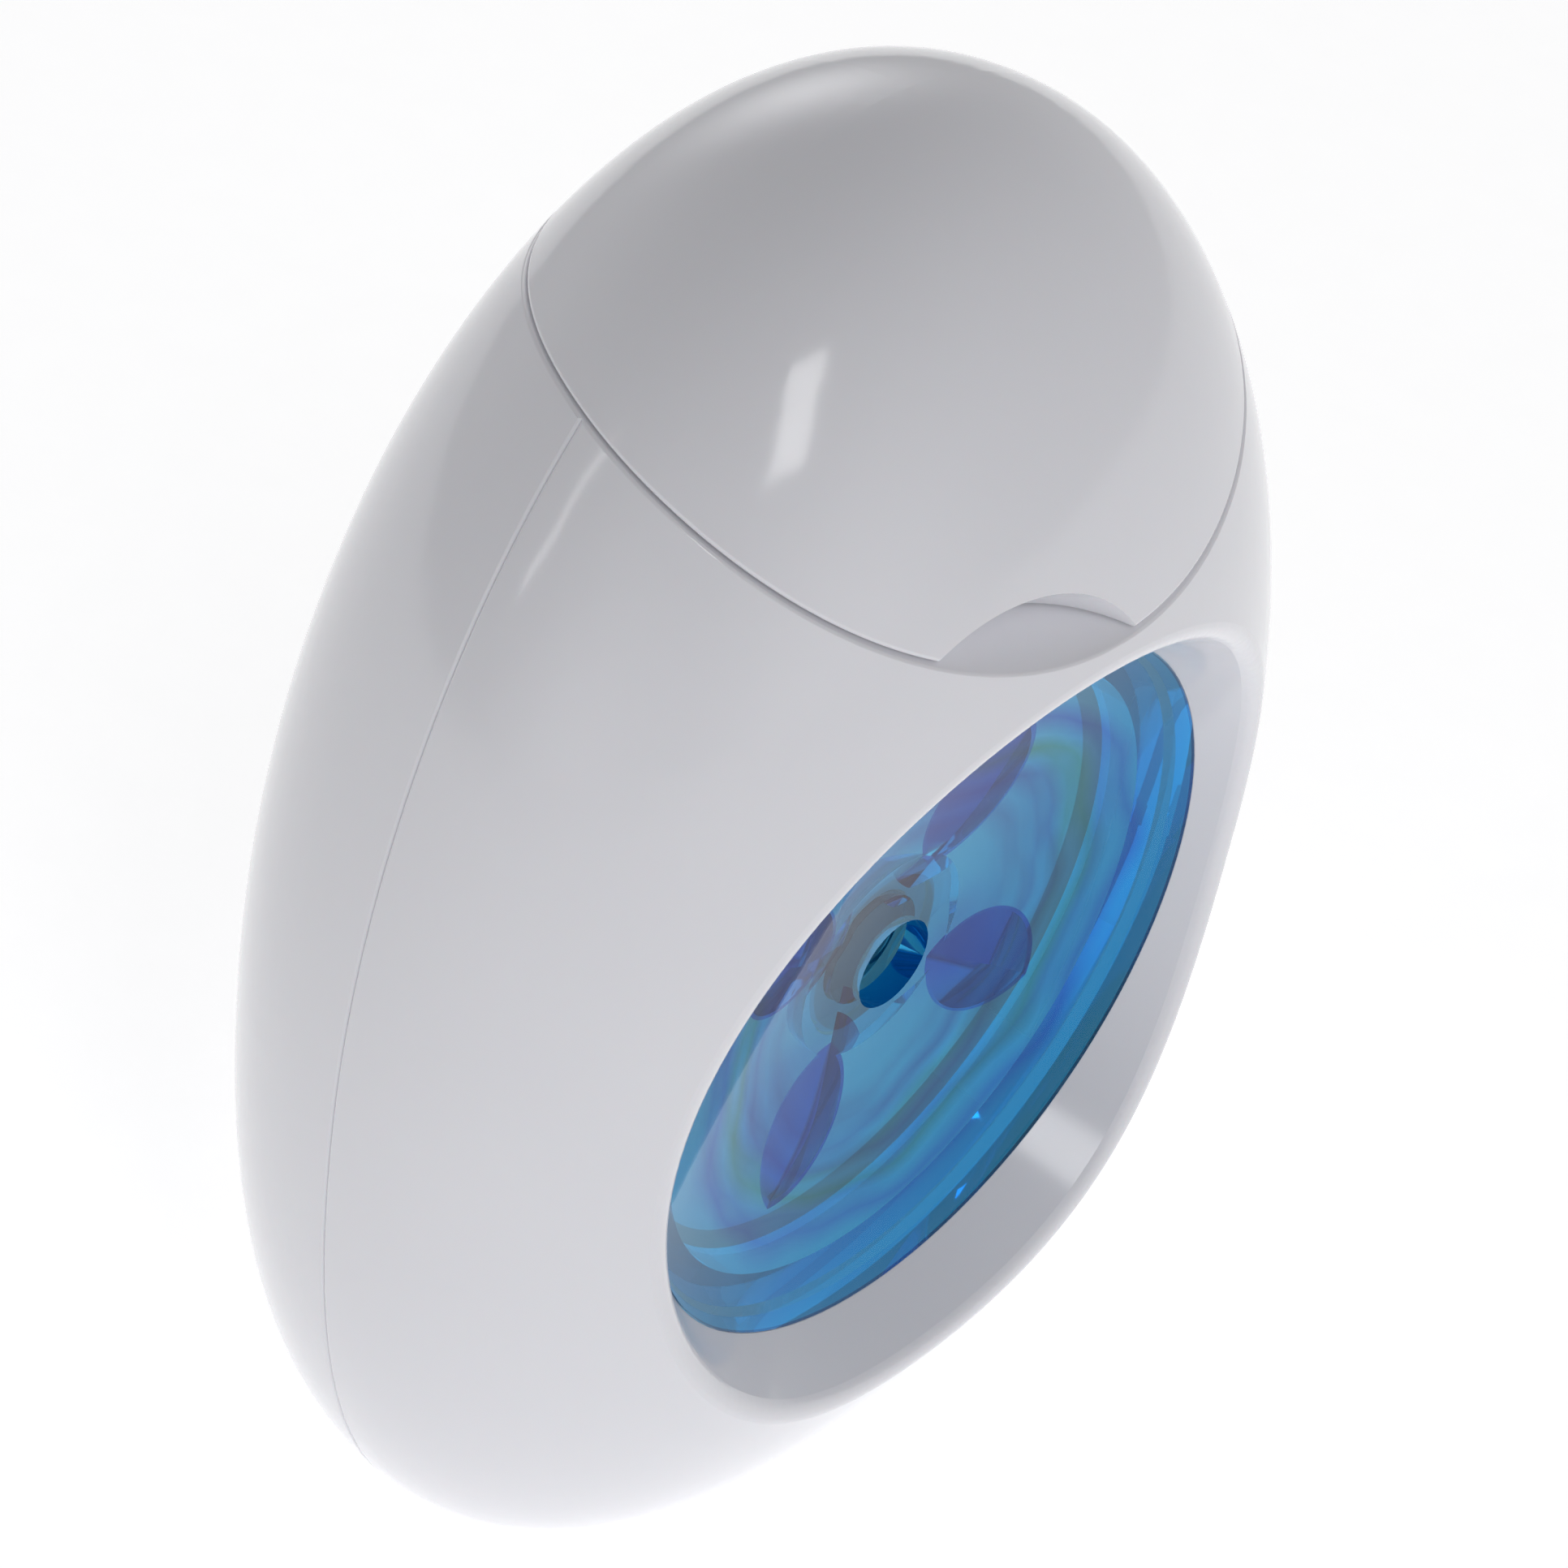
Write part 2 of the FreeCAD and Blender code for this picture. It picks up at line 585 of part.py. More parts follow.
CLIP_FIT = "cutter_sheet + cutter_fit"
POST_TOP = DECK_TOP + size("cutter_post_rise")
clip_low = POST_TOP + size("cutter_fit") - size("cutter_leg")
clip_front = size("cutter_place") - size("cutter_fit") - size("cutter_sheet")
clip_side = -size("cutter_width") / 2
clip = placed("Box", "clip", on_seam(clip_side, clip_front, clip_low), Length="cutter_width",
              Width=f"cutter_post_thickness + 2 * ({CLIP_FIT})", Height="cutter_leg + cutter_sheet")
clip_room = placed("Box", "clip_room", on_seam(clip_side, clip_front + size("cutter_sheet"), clip_low),
                   Length="cutter_width", Width="cutter_post_thickness + 2 * cutter_fit", Height="cutter_leg")


def floss_slot():
    """The slot in the clip's front: a wide mouth at one side that narrows to a barb."""
    half = size("cutter_width") / 2
    leg = size("cutter_leg")
    mouth, barb, root = 0.62 * leg, 0.42 * leg, 0.5 * leg
    tip = barb - size("cutter_sheet")
    corners = [(half, mouth), (half, root), (-half * 0.4, tip), (-half * 0.55, barb), (-half * 0.2, root)]
    points = [Vector(x, 0, z) for x, z in corners]
    face = Part.Face(Part.makePolygon(points + points[:1]))
    obj = doc.addObject("Part::Feature", "floss_slot")
    obj.Shape = face.extrude(Vector(0, 2 * size("cutter_sheet"), 0))
    obj.Placement = on_seam(0, clip_front - size("cutter_sheet") / 2, clip_low)
    return obj


cutter_blade = cut("cutter_blade", clip, clip_room, floss_slot())


# Spool and floss

def spool_round(name, start, radius, length):
    """A cylinder on the spool's axis, measured from its front face."""
    return window_round("Cylinder", name, f"-spool_front + {start}", REARWARD, Radius=radius, Height=length)


spool_core = spool_round("spool_core", "0", "spool_core_radius", "spool_length")
REAR_FLANGE = "spool_length - spool_flange_thickness"
flanges = [spool_round(name, start, "spool_flange_radius", "spool_flange_thickness")
           for name, start in (("front_flange", "0"), ("rear_flange", REAR_FLANGE))]
spool_bore = spool_round("spool_bore", "0", "spool_post_radius + spool_fit", "spool_length")
spool = cut("spool", fuse("spool_body", spool_core, *flanges), spool_bore)
pack = spool_round("pack", "spool_flange_thickness + pack_fit", "pack_radius", "pack_width")
pack_bore = spool_round("pack_bore", "0", "spool_core_radius + pack_fit", "spool_length")
floss_pack = cut("floss_pack", pack, pack_bore)


def biarc(start, start_way, end, end_way):
    """Where two arcs that leave start and reach end along the given ways meet, and their tangents' length."""
    chord = end - start
    ways = start_way + end_way
    slack = 2 * (1 - start_way.dot(end_way))
    half = chord.dot(ways)
    reach = (math.sqrt(half ** 2 + slack * chord.dot(chord)) - half) / slack
    joint = (start + start_way * reach + end - end_way * reach) * 0.5
    return joint, reach


def outer_turns():
    """The top layer of floss: one strand wound from flange to flange with straight ends."""
    turns, pitch, strand = int(size("strand_turns")), size("strand_pitch"), size("strand_radius")
    radius = size("pack_radius") + size("pack_fit") + strand
    middle = -size("spool_front") + size("spool_length") / 2
    level = size("window_level")

    def point(turn):
        angle = 2 * math.pi * turn
        y = middle + (turn - turns / 2) * pitch
        return Vector(radius * math.cos(angle), y, level + radius * math.sin(angle))

    def way(turn):
        angle = 2 * math.pi * turn
        round_turn = 2 * math.pi * radius
        return Vector(-round_turn * math.sin(angle), pitch, round_turn * math.cos(angle)).normalize()

    def arc(first, first_way, last):
        chord = last - first
        across = (chord - first_way * chord.dot(first_way)).normalize()
        bend = chord.dot(chord) / (2 * chord.dot(across))
        centre = first + across * bend
        halfway = (first + last) * 0.5 - centre
        return Part.Arc(first, centre + halfway.normalize() * bend, last).toShape()

    edges = [Part.LineSegment(point(0) - way(0) * 2 * strand, point(0)).toShape()]
    quarters = 4 * turns
    for quarter in range(quarters):
        first, last = quarter / 4, (quarter + 1) / 4
        joint, reach = biarc(point(first), way(first), point(last), way(last))
        edges.append(arc(point(first), way(first), joint))
        meeting = (point(last) - way(last) * reach - point(first) - way(first) * reach).normalize()
        edges.append(arc(joint, meeting, point(last)))
    edges.append(Part.LineSegment(point(turns), point(turns) + way(turns) * 2 * strand).toShape())
    path = Part.Wire(edges)
    ring = Part.Wire(Part.Circle(edges[0].Vertexes[0].Point, way(0), strand).toShape())
    obj = doc.addObject("Part::Feature", "floss_outer_turns")
    obj.Shape = path.makePipeShell([ring], True, False)
    spots = [edge.valueAt(edge.FirstParameter + (edge.LastParameter - edge.FirstParameter) * step / 4)
             for edge in edges for step in range(4)]
    per_turn = 4 * 2 * 4
    gap = min((a - b).Length for i, a in enumerate(spots) for b in spots[i + per_turn // 2:]) - 2 * strand
    print("outer turns: least gap to itself", round(gap, 3), "mm, strand length", round(path.Length, 1), "mm")
    return obj


floss_outer_turns = outer_turns()

print("hinge axis at y", round(HINGE.y, 4), "z", round(HINGE.z, 4))

# Checks and files
SUB_PARTS = (front_shell, rear_shell, window, flip_cap, hinge_pin, cutter_carrier, cutter_blade,
             spool, floss_pack, floss_outer_turns)
doc.recompute()
for obj in doc.Objects:
    if "Invalid" in obj.State or "Error" in obj.State:
        raise RuntimeError(f"{obj.Name} failed: {obj.State}")
os.makedirs("parts", exist_ok=True)
for part in SUB_PARTS:
    shape = part.Shape
    if shape.isNull() or not shape.isValid() or len(shape.Solids) != 1:
        raise RuntimeError(f"{part.Name} is not one valid solid ({len(shape.Solids)} solids)")
for part in SUB_PARTS:
    part.Label = part.Name
    part.Shape.exportStep(f"parts/{part.Label}.step")
    box = part.Shape.BoundBox
    print(part.Label, "volume", round(part.Shape.Volume, 1), "x", round(box.XMin, 2), round(box.XMax, 2),
          "y", round(box.YMin, 2), round(box.YMax, 2), "z", round(box.ZMin, 2), round(box.ZMax, 2))
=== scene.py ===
# %% [markdown]
# # A floss dispenser in glossy white plastic
# The object is an egg-shaped case, small enough to sit in a hand. Two white half shells meet on an upright
# parting line, a white cap is hinged on top, and a round see-through blue window lies in a dish in front.
# The CAD model already has the shapes and the moving bodies. This script dresses it: the finishes, the wound
# floss, light and a camera.

# %% Load the frame and set up small helpers
import math

import bpy
import numpy as np
from mathutils import Matrix, Vector


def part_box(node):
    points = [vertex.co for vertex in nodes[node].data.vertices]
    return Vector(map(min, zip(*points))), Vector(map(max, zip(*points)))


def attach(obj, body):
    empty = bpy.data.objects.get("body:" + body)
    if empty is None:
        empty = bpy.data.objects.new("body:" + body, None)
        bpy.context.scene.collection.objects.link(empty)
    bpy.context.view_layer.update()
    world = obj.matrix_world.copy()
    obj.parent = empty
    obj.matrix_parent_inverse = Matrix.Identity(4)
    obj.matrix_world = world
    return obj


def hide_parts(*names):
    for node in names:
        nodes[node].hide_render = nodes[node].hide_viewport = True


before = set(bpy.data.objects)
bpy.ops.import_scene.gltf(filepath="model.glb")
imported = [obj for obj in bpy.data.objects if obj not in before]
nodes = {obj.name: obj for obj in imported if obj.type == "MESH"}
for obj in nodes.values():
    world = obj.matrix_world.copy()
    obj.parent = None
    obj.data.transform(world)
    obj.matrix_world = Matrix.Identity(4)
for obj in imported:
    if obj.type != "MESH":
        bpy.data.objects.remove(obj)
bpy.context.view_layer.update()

MM = 0.001
print("nodes:", ", ".join(sorted(nodes)))


def linear(hex_colour):
    """An sRGB hex colour as linear RGBA."""
    channels = [int(hex_colour[i:i + 2], 16) / 255 for i in (1, 3, 5)]
    return [c / 12.92 if c <= 0.04045 else ((c + 0.055) / 1.055) ** 2.4 for c in channels] + [1.0]


def add(tree, kind, inputs=None, steps=(), **settings):
    """Adds a node, sets its properties and colour steps, and fills its inputs with values or links."""
    node = tree.nodes.new(kind)
    for name, value in settings.items():
        setattr(node, name, value)
    for number, (spot, colour) in enumerate(steps):
        if number >= len(node.color_ramp.elements):
            node.color_ramp.elements.new(1.0)
        node.color_ramp.elements[number].position = spot
        node.color_ramp.elements[number].color = linear(colour)
    for name, value in (inputs or {}).items():
        if isinstance(value, bpy.types.NodeSocket):
            tree.links.new(value, node.inputs[name])
        else:
            node.inputs[name].default_value = value
    return node


def new_material(name):
    """An empty material with its tree and its output node."""
    material = bpy.data.materials.new(name)
    material.use_nodes = True
    tree = material.node_tree
    tree.nodes.clear()
    return material, tree, add(tree, "ShaderNodeOutputMaterial")


def dress(obj, material):
    """Gives a piece its one material."""
    obj.data.materials.clear()
    obj.data.materials.append(material)


# %% [markdown]
# ## Moulded white plastic
# The case is ABS, injection moulded in polished tools, so it is smooth and bright, a soft blue-grey white.
# What the eye reads is the gloss: sharp reflections that waver slightly where the wall shrank as it cooled,
# and a few specks of dust. A slow noise bends the normal by a hair for the shrink marks, and sparse dark
# specks come from cells about two millimetres across with only the rare one coloured. The parts inside are
# acetal, which leaves the tool with a satin skin, so they take the same recipe with more roughness. White
# walls as thin as these let some daylight through, so the seams and the inside aren't dark, and a little
# painted glow, an emission on both white plastics, stands for it.

# %% White plastic
FLOW_WIDTH = 14 * MM
SHRINK_WIDTH = 9 * MM
POLISH_WIDTH = 5 * MM
DUST_SPACING = 2.2 * MM
DUST_RARITY = 0.93
DUST_SIZE = 0.035
DUST_STRENGTH = 0.45


def moulded_plastic(name, light, shade, roughness, ior, wall_painted_glow):
    """White plastic with shrink marks, dust and uneven polish, and a painted glow, the last argument, for the
    light its walls let through.
    """
    material, tree, out = new_material(name)
    place = add(tree, "ShaderNodeTexCoord").outputs["Object"]
    flow = add(tree, "ShaderNodeTexNoise", {"Vector": place, "Scale": 1 / FLOW_WIDTH, "Detail": 2.0})
    tint = add(tree, "ShaderNodeMix", {"Factor": flow.outputs["Fac"], "A": linear(light), "B": linear(shade)},
               data_type="RGBA")
    cells = add(tree, "ShaderNodeTexVoronoi", {"Vector": place, "Scale": 1 / DUST_SPACING, "Randomness": 1.0})
    rare = add(tree, "ShaderNodeMath", {0: cells.outputs["Color"], 1: DUST_RARITY}, operation="GREATER_THAN")
    near = add(tree, "ShaderNodeMath", {0: cells.outputs["Distance"], 1: DUST_SIZE}, operation="LESS_THAN")
    speck = add(tree, "ShaderNodeMath", {0: rare.outputs[0], 1: near.outputs[0]}, operation="MULTIPLY")
    faint = add(tree, "ShaderNodeMath", {0: speck.outputs[0], 1: DUST_STRENGTH}, operation="MULTIPLY")
    colour = add(tree, "ShaderNodeMix", {"Factor": faint.outputs[0], "A": tint.outputs["Result"],
                                         "B": linear("#6f6f74")}, data_type="RGBA")
    polish = add(tree, "ShaderNodeTexNoise", {"Vector": place, "Scale": 1 / POLISH_WIDTH, "Detail": 4.0})
    rough = add(tree, "ShaderNodeMapRange", {"Value": polish.outputs["Fac"], "To Min": roughness * 0.8,
                                             "To Max": roughness * 1.25})
    shrink = add(tree, "ShaderNodeTexNoise", {"Vector": place, "Scale": 1 / SHRINK_WIDTH, "Detail": 1.0})
    bump = add(tree, "ShaderNodeBump", {"Height": shrink.outputs["Fac"], "Strength": 0.02,
                                        "Distance": 0.1 * MM})
    # The emission is a painted glow that stands for light let through the thin walls
    shader = add(tree, "ShaderNodeBsdfPrincipled", {
        "Base Color": colour.outputs["Result"], "Roughness": rough.outputs["Result"], "IOR": ior,
        "Normal": bump.outputs["Normal"], "Subsurface Weight": 0.08, "Subsurface Scale": 0.6 * MM,
        "Emission Color": linear("#ffffff"), "Emission Strength": wall_painted_glow})
    tree.links.new(shader.outputs[0], out.inputs["Surface"])
    return material


# The last number of each is a painted glow: emission that brightens the seams and the inside
case_plastic = moulded_plastic("glossy_moulded_abs", "#e1e1e6", "#dbdbe1", 0.12, 1.53, 0.045)
inner_plastic = moulded_plastic("satin_moulded_acetal", "#f0f0ee", "#e8e8e6", 0.32, 1.48, 0.07)
for name in ("front_shell", "rear_shell", "flip_cap"):
    dress(nodes[name], case_plastic)
for name in ("cutter_carrier", "spool"):
    dress(nodes[name], inner_plastic)
print("white plastics:", case_plastic.name, inner_plastic.name)

# %% [markdown]
# ## The blue window
# The window is injection-moulded acrylic with a blue dye, clear enough to see how much floss is left. Its
# depth of colour must come from the length of plastic that light crosses: pale over the thin lens, teal along
# the thick rim. So the surface is clear and a volume inside it absorbs red most and blue least. Acrylic that
# was moulded fast keeps stress, which shows as faint rings of mauve and olive round the gate in the middle.
# The rings are a wavy radius run through a colour ramp, and they only tint what the surface lets through.
# The four leaves are pockets in the back, tinted navy, with painted light on their sides and painted shade
# along the middle. Their outline is where two circles overlap, worked out in a frame that is folded four
# times round the hub, and only the pockets take the tint.
# The white seat behind the rim feeds light into the plastic. A weak painted glow stands for it, teal on the
# back and navy in the pockets. The reflections are tinted down, because the real window mirrors little in the
# picture.

# %% Window: distance and angle from the hub
window_low, window_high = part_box("window")
HUB_LEVEL = (window_low[2] + window_high[2]) / 2
WINDOW_FRONT = window_low[1]
window, tree, out = new_material("clear_blue_acrylic")
place = add(tree, "ShaderNodeTexCoord").outputs["Object"]
from_hub = add(tree, "ShaderNodeVectorMath", {0: place, 1: (0, 0, HUB_LEVEL)}, operation="SUBTRACT")
split = add(tree, "ShaderNodeSeparateXYZ", {"Vector": from_hub.outputs[0]})
flat = add(tree, "ShaderNodeVectorMath", {0: from_hub.outputs[0], 1: (1, 0, 1)}, operation="MULTIPLY")
radius = add(tree, "ShaderNodeVectorMath", {0: flat.outputs[0]}, operation="LENGTH")
angle = add(tree, "ShaderNodeMath", {0: split.outputs["Z"], 1: split.outputs["X"]}, operation="ARCTAN2")
print("hub level", round(HUB_LEVEL / MM, 2), "mm")

# %% Window: stress rings
RING_WAVE = 7 * MM
RING_SWAY = 2 * MM
RING_REACH = 14 * MM
flow = add(tree, "ShaderNodeTexNoise", {"Vector": place, "Scale": 1 / RING_WAVE, "Detail": 1.5})
sway = add(tree, "ShaderNodeMapRange", {"Value": flow.outputs["Fac"], "To Min": -RING_SWAY,
                                        "To Max": RING_SWAY})
wavy = add(tree, "ShaderNodeMath", {0: radius.outputs["Value"], 1: sway.outputs["Result"]})
share = add(tree, "ShaderNodeMapRange", {"Value": wavy.outputs[0], "From Min": 0.0, "From Max": RING_REACH})
STRESS_RINGS = ((0.0, "#ffffff"), (0.4, "#ffffff"), (0.47, "#e9c9e2"), (0.52, "#f4f6ff"), (0.58, "#c9a6d8"),
                (0.62, "#dff1ff"), (0.67, "#cfe0a8"), (0.72, "#ffffff"), (0.79, "#b9a2e6"), (0.86, "#ffffff"),
                (1.0, "#ffffff"))
rings = add(tree, "ShaderNodeValToRGB", {"Fac": share.outputs["Result"]}, steps=STRESS_RINGS)
print("stress rings:", len(STRESS_RINGS))

# %% Window: the leaves' outline
LEAF_TURN = math.radians(60)
LEAF_MIDDLE, LEAF_HALF = 7.2 * MM, 3.3 * MM
LEAF_BULGES = (2.6 * MM, -2.0 * MM)
LEAF_MARGIN = 0.05 * MM
quarter = math.pi / 2
folded = add(tree, "ShaderNodeMath", {0: angle.outputs[0], 1: quarter / 2 - LEAF_TURN})
folded = add(tree, "ShaderNodeMath", {0: folded.outputs[0], 1: quarter}, operation="FLOORED_MODULO")
folded = add(tree, "ShaderNodeMath", {0: folded.outputs[0], 1: -quarter / 2})
along = add(tree, "ShaderNodeMath", {0: folded.outputs[0]}, operation="COSINE")
along = add(tree, "ShaderNodeMath", {0: along.outputs[0], 1: radius.outputs["Value"], 2: -LEAF_MIDDLE},
            operation="MULTIPLY_ADD")
aside = add(tree, "ShaderNodeMath", {0: folded.outputs[0]}, operation="SINE")
aside = add(tree, "ShaderNodeMath", {0: aside.outputs[0], 1: radius.outputs["Value"]}, operation="MULTIPLY")
in_leaf = None
for bulge in LEAF_BULGES:
    bend = (LEAF_HALF ** 2 + bulge ** 2) / (2 * abs(bulge))
    offset = math.copysign(bend - abs(bulge), bulge)
    shifted = add(tree, "ShaderNodeMath", {0: aside.outputs[0], 1: offset})
    spot = add(tree, "ShaderNodeCombineXYZ", {"X": along.outputs[0], "Y": shifted.outputs[0]})
    reach = add(tree, "ShaderNodeVectorMath", {0: spot.outputs[0]}, operation="LENGTH")
    inside = add(tree, "ShaderNodeMath", {0: reach.outputs["Value"], 1: bend + LEAF_MARGIN},
                 operation="LESS_THAN")
    so_far = 1.0 if in_leaf is None else in_leaf.outputs[0]
    in_leaf = add(tree, "ShaderNodeMath", {0: inside.outputs[0], 1: so_far}, operation="MULTIPLY")
print("leaves: four of half length", round(LEAF_HALF / MM, 2), "mm")

# %% Window: the pockets, which lie behind the front skin
LENS_RADIUS, LENS_SAG = 48.96 * MM, 2.15 * MM
FRONT_SKIN = 0.2 * MM
lens_centre = (0, WINDOW_FRONT + LENS_SAG - LENS_RADIUS, HUB_LEVEL)
from_centre = add(tree, "ShaderNodeVectorMath", {0: place, 1: lens_centre}, operation="DISTANCE")
behind = add(tree, "ShaderNodeMath", {0: from_centre.outputs["Value"], 1: LENS_RADIUS + FRONT_SKIN},
             operation="GREATER_THAN")
leaf_wall = add(tree, "ShaderNodeMath", {0: in_leaf.outputs[0], 1: behind.outputs[0]}, operation="MULTIPLY")
print("lens centre", [round(c / MM, 2) for c in lens_centre], "mm")

# %% Window: the leaves' tint, painted light on both sides and painted shade along the middle
# Painted light and shade: the leaf is lighter at its sides, and a painted shade darkens the keel along the
# middle
LEAF_PAINTED_SHADE = ((0.0, "#3488f0"), (0.4, "#2464e4"), (0.44, "#081460"), (0.5, "#10289c"),
             (1.0, "#1c48c8"))
across = add(tree, "ShaderNodeMapRange", {"Value": aside.outputs[0], "From Min": LEAF_BULGES[1],
                                          "From Max": LEAF_BULGES[0]})
leaf_painted_shade = add(tree, "ShaderNodeValToRGB", {"Fac": across.outputs["Result"]}, steps=LEAF_PAINTED_SHADE)
tint = add(tree, "ShaderNodeMix", {"Factor": leaf_wall.outputs[0], "A": rings.outputs["Color"],
                                   "B": leaf_painted_shade.outputs["Color"]}, data_type="RGBA")
print("leaf tint steps:", len(LEAF_PAINTED_SHADE))

# %% Window: surface, painted glow behind it, and depth
HUB_RADIUS = 3.4 * MM
# Painted glow: emission, teal on the back and navy in the pockets, stands for light from the white seat; the
# hub is left out
outside = add(tree, "ShaderNodeMath", {0: radius.outputs["Value"], 1: HUB_RADIUS}, operation="GREATER_THAN")
painted_glow_mask = add(tree, "ShaderNodeMath", {0: behind.outputs[0], 1: leaf_wall.outputs[0]}, operation="SUBTRACT")
painted_glow_mask = add(tree, "ShaderNodeMath", {0: painted_glow_mask.outputs[0], 1: outside.outputs[0]}, operation="MULTIPLY")
teal = add(tree, "ShaderNodeMix", {"Factor": painted_glow_mask.outputs[0], "A": linear("#000000"), "B": linear("#1a7c9c")},
           data_type="RGBA")
painted_window_glow = add(tree, "ShaderNodeMix", {"Factor": leaf_wall.outputs[0], "A": teal.outputs["Result"],
                                   "B": linear("#0a4a84")}, data_type="RGBA")
shader = add(tree, "ShaderNodeBsdfPrincipled", {
    "Base Color": tint.outputs["Result"], "Roughness": 0.02, "IOR": 1.49, "Transmission Weight": 1.0,
    "Specular Tint": (0.12, 0.12, 0.12, 1.0), "Emission Color": painted_window_glow.outputs["Result"],
    "Emission Strength": 0.4})
depth = add(tree, "ShaderNodeVolumeAbsorption", {"Color": (0.0, 0.7, 0.84, 1.0), "Density": 0.62 / MM})
tree.links.new(shader.outputs[0], out.inputs["Surface"])
tree.links.new(depth.outputs[0], out.inputs["Volume"])
dress(nodes["window"], window)
print("window:", window.name)

# %% [markdown]
# ## Bright steel
# The cutter is folded from stainless strip and the hinge turns on a steel pin. Strip keeps the fine lines of
# the rolls along its length, and a drawn pin has them along its axis, which here is the same way, X. A noise
# that is stretched along X gives those lines to the roughness and to a faint bump.

# %% Steel
steel, tree, out = new_material("rolled_stainless_steel")
ROLL_LINE = 0.12 * MM
STRETCH = 0.04
place = add(tree, "ShaderNodeTexCoord").outputs["Object"]
along = add(tree, "ShaderNodeMapping", {"Vector": place, "Scale": (STRETCH, 1.0, 1.0)})
lines = add(tree, "ShaderNodeTexNoise", {"Vector": along.outputs[0], "Scale": 1 / ROLL_LINE, "Detail": 3.0})
rough = add(tree, "ShaderNodeMapRange", {"Value": lines.outputs["Fac"], "To Min": 0.16, "To Max": 0.34})
shade = add(tree, "ShaderNodeMix", {"Factor": lines.outputs["Fac"], "A": linear("#c9cacc"),
                                    "B": linear("#b4b6b9")}, data_type="RGBA")
bump = add(tree, "ShaderNodeBump", {"Height": lines.outputs["Fac"], "Strength": 0.15, "Distance": 0.01 * MM})
shader = add(tree, "ShaderNodeBsdfPrincipled", {
    "Base Color": shade.outputs["Result"], "Metallic": 1.0, "Roughness": rough.outputs["Result"],
    "Normal": bump.outputs["Normal"]})
tree.links.new(shader.outputs[0], out.inputs["Surface"])
for name in ("cutter_blade", "hinge_pin"):
    dress(nodes[name], steel)
print("steel:", steel.name)

# %% [markdown]
# ## Wound floss
# A spool carries many metres of waxed nylon ribbon. It is laid on by a traversing guide, so each layer is a
# close helix that runs from one flange to the other, and the next layer comes back over it with the opposite
# slant. One helix swept as a tube makes a layer, and two layers of different pitch give the criss-cross of a
# real winding. The layers below them are a ring with one ridge for each turn, so no plain surface shows
# between the strands. Real floss is about half as thick, and the strand is drawn coarser so that it shows.

# %% Strand and ring meshes
PACK_LOW, PACK_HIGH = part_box("floss_pack")
TURNS_LOW, TURNS_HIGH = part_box("floss_outer_turns")
AXIS_Z = (PACK_LOW[2] + PACK_HIGH[2]) / 2
PACK_RADIUS = (PACK_HIGH[0] - PACK_LOW[0]) / 2
TOP_RADIUS = (TURNS_HIGH[0] - TURNS_LOW[0]) / 2
CORE_RADIUS = 5.25 * MM
STRAND = 0.19 * MM


def mesh_piece(name, points, faces, node):
    """A smooth mesh that rides on the spool and stands for a CAD node."""
    mesh = bpy.data.meshes.new(name)
    mesh.from_pydata([tuple(p) for p in points], [], faces)
    mesh.shade_smooth()
    obj = bpy.data.objects.new(name, mesh)
    bpy.context.scene.collection.objects.link(obj)
    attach(obj, "spool")
    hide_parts(node)
    print(name, len(faces), "faces")
    return obj


def wound_layer(radius, turns, slant, phase, steps=56, sides=8):
    """The points and faces of one strand wound from flange to flange."""
    count = turns * steps + 1
    angle = phase + slant * np.linspace(0, 2 * np.pi * turns, count)
    y = np.linspace(PACK_LOW[1] + STRAND, PACK_HIGH[1] - STRAND, count)
    outward = np.stack([np.cos(angle), np.zeros(count), np.sin(angle)], 1)
    spread = np.linspace(0, 2 * np.pi, sides, endpoint=False)
    points = []
    for way in spread:
        reach = radius + STRAND * np.cos(way)
        ring = outward * reach
        ring[:, 1] = y + STRAND * np.sin(way)
        ring[:, 2] += AXIS_Z
        points.append(ring)
    points = np.stack(points, 1).reshape(-1, 3)
    faces = []
    for i in range(count - 1):
        for j in range(sides):
            k = (j + 1) % sides
            faces.append((i * sides + j, i * sides + k, (i + 1) * sides + k, (i + 1) * sides + j))
    faces.append(tuple(range(sides)))
    faces.append(tuple(range((count - 1) * sides, count * sides))[::-1])
    return points, faces


def grooved_ring(rows, steps=128):
    """A ring as wide as the winding with one rounded ridge for each turn."""
    across = np.linspace(0, 1, rows * 4 + 1)
    ridge = STRAND * np.abs(np.sin(across * rows * np.pi))
    width = PACK_HIGH[1] - PACK_LOW[1]
    profile = [(CORE_RADIUS, PACK_LOW[1])]
    profile += [(PACK_RADIUS - STRAND + r, PACK_LOW[1] + width * a) for r, a in zip(ridge, across)]
    profile += [(CORE_RADIUS, PACK_HIGH[1])]
    angles = np.linspace(0, 2 * np.pi, steps, endpoint=False)
    points = [(r * math.cos(a), y, AXIS_Z + r * math.sin(a)) for a in angles for r, y in profile]
    n = len(profile)
    faces = []
    for i in range(steps):
        here, ahead = i * n, (i + 1) % steps * n
        for j in range(n):
            k = (j + 1) % n
            faces.append((here + j, here + k, ahead + k, ahead + j))
    return points, faces


# %% Lay the floss on the spool
RIDGES = 26
wound = [mesh_piece("wound_floss_below", *grooved_ring(RIDGES), "floss_pack")]
# Each layer: its radius, its turns, the way it slants, and the angle where it starts
LAYERS = ((PACK_RADIUS + STRAND, 24, 1, 0.0), (TOP_RADIUS - STRAND, 20, -1, 1.1))
for number, layer in enumerate(LAYERS, 1):
    wound.append(mesh_piece(f"wound_floss_layer_{number}", *wound_layer(*layer), "floss_outer_turns"))

# %% [markdown]
# ## Waxed nylon
# Floss is a flat bundle of many fine nylon filaments held together by wax. The bundle catches light in silky
# lines along the strand and the wax gives a low sheen. Strands run round the spool, so the lines follow the
# angle about its axis: a noise sampled in radius and Y, and hardly at all along the turn, draws filaments.

